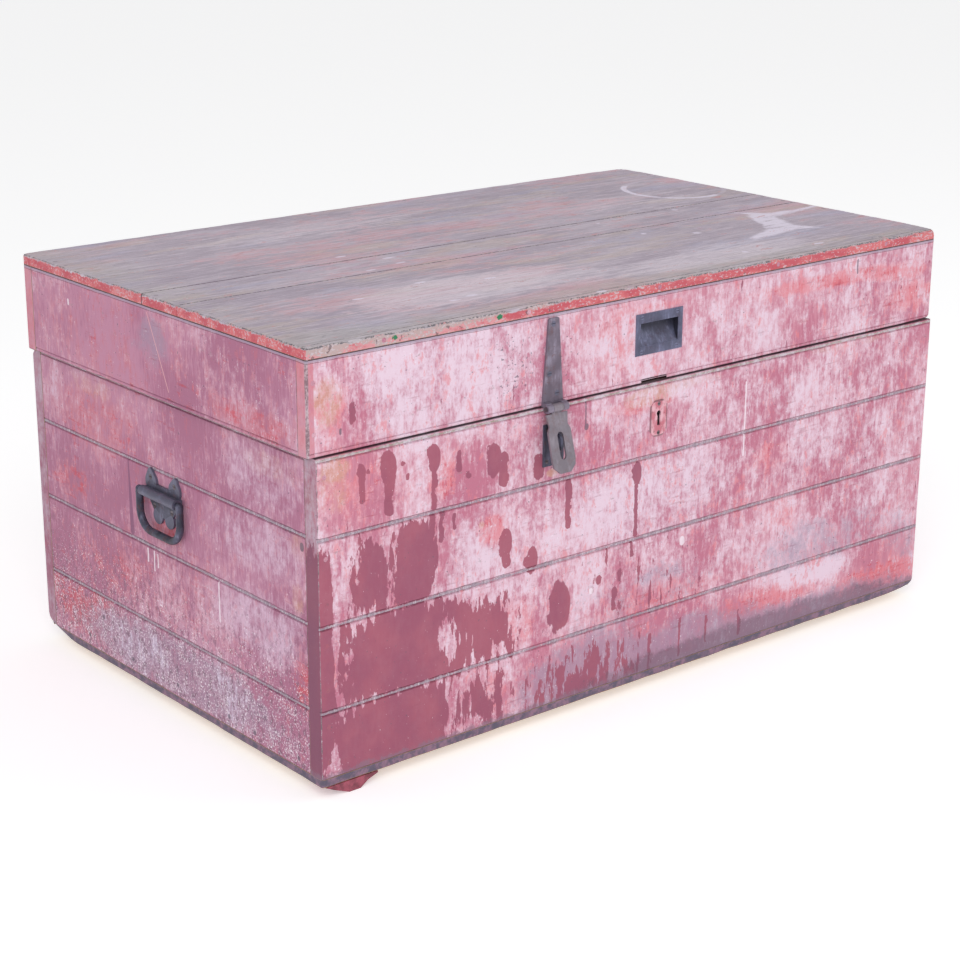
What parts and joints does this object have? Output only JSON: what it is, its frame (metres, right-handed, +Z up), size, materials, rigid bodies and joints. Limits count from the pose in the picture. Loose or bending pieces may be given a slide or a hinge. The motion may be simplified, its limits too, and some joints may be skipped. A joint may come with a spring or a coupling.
{
  "type": "plank storage chest",
  "caption": "Long plank chest with a deep hinged box lid, iron hasp and staple, flush lift pull, lock and drop handles.",
  "frame": {"origin": "on the floor under the middle of the body, on the middle bearer's underside", "axes": "+X along the length to the right seen from the front, +Y to the back, +Z up"},
  "size_m": [1.028, 0.6371, 0.513],
  "materials": {
    "painted_front": "worn red and pink paint on pine",
    "painted_side": "worn red and pink paint on pine",
    "painted_top": "paint worn to grey-brown wood",
    "bare_pine": "aged bare pine",
    "dark_iron": "dark worn iron",
    "worn_steel": "dull, lightly rusted",
    "painted_iron": "painted over, chipped",
    "old_brass": "tarnished"
  },
  "bodies": {
    "carcase": {"front_board_1": "painted_front", "front_board_2": "painted_front", "front_board_3": "painted_front", "front_board_4": "painted_front", "back_board_1": "painted_front", "back_board_2": "painted_front", "back_board_3": "painted_front", "back_board_4": "painted_front", "left_board_1": "painted_side", "left_board_2": "painted_side", "left_board_3": "painted_side", "left_board_4": "painted_side", "right_board_1": "painted_side", "right_board_2": "painted_side", "right_board_3": "painted_side", "right_board_4": "painted_side", "bottom_board_1": "bare_pine", "bottom_board_2": "bare_pine", "bottom_board_3": "bare_pine", "bearer_1": "bare_pine", "bearer_2": "bare_pine", "bearer_3": "bare_pine", "corner_foot": "painted_front", "body_nails": "worn_steel", "staple_plate": "dark_iron", "staple": "dark_iron", "staple_screws": "worn_steel", "keyhole_plate": "painted_iron", "keyhole_screws": "worn_steel", "lock_case": "old_brass", "body_screws": "worn_steel", "left_handle_plate": "dark_iron", "right_handle_plate": "dark_iron", "handle_screws": "worn_steel", "hinge_body_leaf_1": "dark_iron", "hinge_body_leaf_2": "dark_iron", "hinge_pins": "worn_steel"},
    "lid": {"lid_front_board": "painted_front", "lid_back_board": "painted_front", "lid_left_board": "painted_side", "lid_right_board": "painted_side", "lid_top_board_1": "painted_top", "lid_top_board_2": "painted_top", "lid_top_board_3": "painted_top", "lid_nosing": "painted_top", "lid_nails": "worn_steel", "hasp_strap": "dark_iron", "strap_screws": "worn_steel", "hasp_pin": "worn_steel", "flush_pull": "dark_iron", "pull_screws": "worn_steel", "link_plate": "old_brass", "lid_screws": "worn_steel", "hinge_lid_leaf_1": "dark_iron", "hinge_lid_leaf_2": "dark_iron"},
    "hasp_flap": {"hasp_flap": "dark_iron"},
    "left_bail": {"left_bail": "dark_iron"},
    "right_bail": {"right_bail": "dark_iron"},
    "lock_bolt": {"lock_bolt": "old_brass"}
  },
  "joints": [
    {"name": "lid_hinge", "type": "hinge", "parent": "carcase", "child": "lid", "pos_m": [0, 0.2965, 0.3929], "axis": [-1, 0, 0], "range_deg": [0, 100]},
    {"name": "hasp_hinge", "type": "hinge", "parent": "lid", "child": "hasp_flap", "pos_m": [-0.17, -0.3122, 0.3919], "axis": [-1, 0, 0], "range_deg": [-15, 165]},
    {"name": "left_bail_hinge", "type": "hinge", "parent": "carcase", "child": "left_bail", "pos_m": [-0.508, 0, 0.274], "axis": [0, 1, 0], "range_deg": [0, 90]},
    {"name": "right_bail_hinge", "type": "hinge", "parent": "carcase", "child": "right_bail", "pos_m": [0.508, 0, 0.274], "axis": [0, -1, 0], "range_deg": [0, 90]},
    {"name": "lock_bolt_slide", "type": "slide", "parent": "carcase", "child": "lock_bolt", "axis": [1, 0, 0], "range_m": [0, 0.007]}
  ]
}
